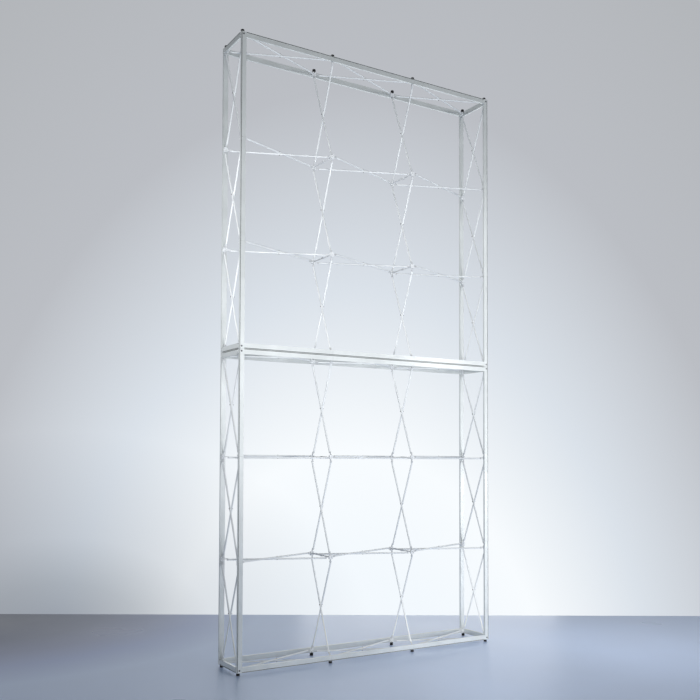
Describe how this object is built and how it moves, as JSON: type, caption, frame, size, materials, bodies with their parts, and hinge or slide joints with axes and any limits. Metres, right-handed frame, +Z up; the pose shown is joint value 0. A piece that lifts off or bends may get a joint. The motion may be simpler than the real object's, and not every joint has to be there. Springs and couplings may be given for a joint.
{
  "type": "pop up display backwall",
  "caption": "Free-standing pop-up backwall frame: stacked scissor-lattice frames with plug-on fabric channel bars, swing-up locking arms and rubber feet.",
  "frame": {"origin": "on the floor under the middle of the frame", "axes": "+X along the wall, -Y is the front face, +Z up"},
  "size_m": [2.239, 0.332, 4.519],
  "materials": {
    "bar_aluminium": "satin anodised extrusion",
    "tube_aluminium": "satin anodised tube",
    "hub_plastic": "light grey moulded nylon",
    "lock_plastic": "light grey moulded nylon",
    "end_plastic": "light grey moulded nylon",
    "steel_pin": "plain steel",
    "black_rubber": "matte black rubber"
  },
  "bodies": {
    "lower_frame": {"lower_front_hubs": "hub_plastic", "lower_back_hubs": "hub_plastic", "lower_hub_pins": "steel_pin", "lower_row_tubes": "tube_aluminium", "lower_column_tubes": "tube_aluminium", "lower_row_tube_ends": "end_plastic", "lower_column_tube_ends": "end_plastic", "lower_scissor_rivets": "steel_pin", "lower_catch_arms": "lock_plastic", "lower_lock_pins": "steel_pin", "lower_left_top_depth_bar": "bar_aluminium", "lower_left_bottom_depth_bar": "bar_aluminium", "lower_right_top_depth_bar": "bar_aluminium", "lower_right_bottom_depth_bar": "bar_aluminium", "feet": "black_rubber", "stacking_plugs": "black_rubber"},
    "upper_frame": {"upper_front_hubs": "hub_plastic", "upper_back_hubs": "hub_plastic", "upper_hub_pins": "steel_pin", "upper_row_tubes": "tube_aluminium", "upper_column_tubes": "tube_aluminium", "upper_row_tube_ends": "end_plastic", "upper_column_tube_ends": "end_plastic", "upper_scissor_rivets": "steel_pin", "upper_catch_arms": "lock_plastic", "upper_lock_pins": "steel_pin", "upper_left_top_depth_bar": "bar_aluminium", "upper_left_bottom_depth_bar": "bar_aluminium", "upper_right_top_depth_bar": "bar_aluminium", "upper_right_bottom_depth_bar": "bar_aluminium", "top_knobs": "black_rubber"},
    "lower_front_left_bar": {"lower_front_left_bar": "bar_aluminium"},
    "lower_front_right_bar": {"lower_front_right_bar": "bar_aluminium"},
    "lower_front_top_bar": {"lower_front_top_bar": "bar_aluminium"},
    "lower_front_bottom_bar": {"lower_front_bottom_bar": "bar_aluminium"},
    "lower_back_left_bar": {"lower_back_left_bar": "bar_aluminium"},
    "lower_back_right_bar": {"lower_back_right_bar": "bar_aluminium"},
    "lower_back_top_bar": {"lower_back_top_bar": "bar_aluminium"},
    "lower_back_bottom_bar": {"lower_back_bottom_bar": "bar_aluminium"},
    "lower_lock_arm_left_low": {"lower_lock_arm_left_low": "lock_plastic"},
    "lower_lock_arm_right_low": {"lower_lock_arm_right_low": "lock_plastic"},
    "lower_lock_arm_left_high": {"lower_lock_arm_left_high": "lock_plastic"},
    "lower_lock_arm_right_high": {"lower_lock_arm_right_high": "lock_plastic"},
    "upper_front_left_bar": {"upper_front_left_bar": "bar_aluminium"},
    "upper_front_right_bar": {"upper_front_right_bar": "bar_aluminium"},
    "upper_front_top_bar": {"upper_front_top_bar": "bar_aluminium"},
    "upper_front_bottom_bar": {"upper_front_bottom_bar": "bar_aluminium"},
    "upper_back_left_bar": {"upper_back_left_bar": "bar_aluminium"},
    "upper_back_right_bar": {"upper_back_right_bar": "bar_aluminium"},
    "upper_back_top_bar": {"upper_back_top_bar": "bar_aluminium"},
    "upper_back_bottom_bar": {"upper_back_bottom_bar": "bar_aluminium"},
    "upper_lock_arm_left_low": {"upper_lock_arm_left_low": "lock_plastic"},
    "upper_lock_arm_right_low": {"upper_lock_arm_right_low": "lock_plastic"},
    "upper_lock_arm_left_high": {"upper_lock_arm_left_high": "lock_plastic"},
    "upper_lock_arm_right_high": {"upper_lock_arm_right_high": "lock_plastic"}
  },
  "joints": [
    {"name": "upper_frame_lift", "type": "slide", "parent": "lower_frame", "child": "upper_frame", "axis": [0, 0, 1], "range_m": [0, 0.1]},
    {"name": "lower_front_left_bar_pull", "type": "slide", "parent": "lower_frame", "child": "lower_front_left_bar", "axis": [0, -1, 0], "range_m": [0, 0.06]},
    {"name": "lower_front_right_bar_pull", "type": "slide", "parent": "lower_frame", "child": "lower_front_right_bar", "axis": [0, -1, 0], "range_m": [0, 0.06]},
    {"name": "lower_front_top_bar_pull", "type": "slide", "parent": "lower_frame", "child": "lower_front_top_bar", "axis": [0, -1, 0], "range_m": [0, 0.06]},
    {"name": "lower_front_bottom_bar_pull", "type": "slide", "parent": "lower_frame", "child": "lower_front_bottom_bar", "axis": [0, -1, 0], "range_m": [0, 0.06]},
    {"name": "lower_back_left_bar_pull", "type": "slide", "parent": "lower_frame", "child": "lower_back_left_bar", "axis": [0, 1, 0], "range_m": [0, 0.06]},
    {"name": "lower_back_right_bar_pull", "type": "slide", "parent": "lower_frame", "child": "lower_back_right_bar", "axis": [0, 1, 0], "range_m": [0, 0.06]},
    {"name": "lower_back_top_bar_pull", "type": "slide", "parent": "lower_frame", "child": "lower_back_top_bar", "axis": [0, 1, 0], "range_m": [0, 0.06]},
    {"name": "lower_back_bottom_bar_pull", "type": "slide", "parent": "lower_frame", "child": "lower_back_bottom_bar", "axis": [0, 1, 0], "range_m": [0, 0.06]},
    {"name": "lower_lock_left_low_swing", "type": "hinge", "parent": "lower_frame", "child": "lower_lock_arm_left_low", "pos_m": [-0.3675, 0.1265, 0.772], "axis": [-1, 0, 0], "range_deg": [0, 55]},
    {"name": "lower_lock_right_low_swing", "type": "hinge", "parent": "lower_frame", "child": "lower_lock_arm_right_low", "pos_m": [0.3675, 0.1265, 0.772], "axis": [-1, 0, 0], "range_deg": [0, 55]},
    {"name": "lower_lock_left_high_swing", "type": "hinge", "parent": "lower_frame", "child": "lower_lock_arm_left_high", "pos_m": [-0.3675, 0.1265, 1.507], "axis": [-1, 0, 0], "range_deg": [0, 55]},
    {"name": "lower_lock_right_high_swing", "type": "hinge", "parent": "lower_frame", "child": "lower_lock_arm_right_high", "pos_m": [0.3675, 0.1265, 1.507], "axis": [-1, 0, 0], "range_deg": [0, 55]},
    {"name": "upper_front_left_bar_pull", "type": "slide", "parent": "upper_frame", "child": "upper_front_left_bar", "axis": [0, -1, 0], "range_m": [0, 0.06]},
    {"name": "upper_front_right_bar_pull", "type": "slide", "parent": "upper_frame", "child": "upper_front_right_bar", "axis": [0, -1, 0], "range_m": [0, 0.06]},
    {"name": "upper_front_top_bar_pull", "type": "slide", "parent": "upper_frame", "child": "upper_front_top_bar", "axis": [0, -1, 0], "range_m": [0, 0.06]},
    {"name": "upper_front_bottom_bar_pull", "type": "slide", "parent": "upper_frame", "child": "upper_front_bottom_bar", "axis": [0, -1, 0], "range_m": [0, 0.06]},
    {"name": "upper_back_left_bar_pull", "type": "slide", "parent": "upper_frame", "child": "upper_back_left_bar", "axis": [0, 1, 0], "range_m": [0, 0.06]},
    {"name": "upper_back_right_bar_pull", "type": "slide", "parent": "upper_frame", "child": "upper_back_right_bar", "axis": [0, 1, 0], "range_m": [0, 0.06]},
    {"name": "upper_back_top_bar_pull", "type": "slide", "parent": "upper_frame", "child": "upper_back_top_bar", "axis": [0, 1, 0], "range_m": [0, 0.06]},
    {"name": "upper_back_bottom_bar_pull", "type": "slide", "parent": "upper_frame", "child": "upper_back_bottom_bar", "axis": [0, 1, 0], "range_m": [0, 0.06]},
    {"name": "upper_lock_left_low_swing", "type": "hinge", "parent": "upper_frame", "child": "upper_lock_arm_left_low", "pos_m": [-0.3675, 0.1265, 3.012], "axis": [-1, 0, 0], "range_deg": [0, 55]},
    {"name": "upper_lock_right_low_swing", "type": "hinge", "parent": "upper_frame", "child": "upper_lock_arm_right_low", "pos_m": [0.3675, 0.1265, 3.012], "axis": [-1, 0, 0], "range_deg": [0, 55]},
    {"name": "upper_lock_left_high_swing", "type": "hinge", "parent": "upper_frame", "child": "upper_lock_arm_left_high", "pos_m": [-0.3675, 0.1265, 3.747], "axis": [-1, 0, 0], "range_deg": [0, 55]},
    {"name": "upper_lock_right_high_swing", "type": "hinge", "parent": "upper_frame", "child": "upper_lock_arm_right_high", "pos_m": [0.3675, 0.1265, 3.747], "axis": [-1, 0, 0], "range_deg": [0, 55]}
  ]
}
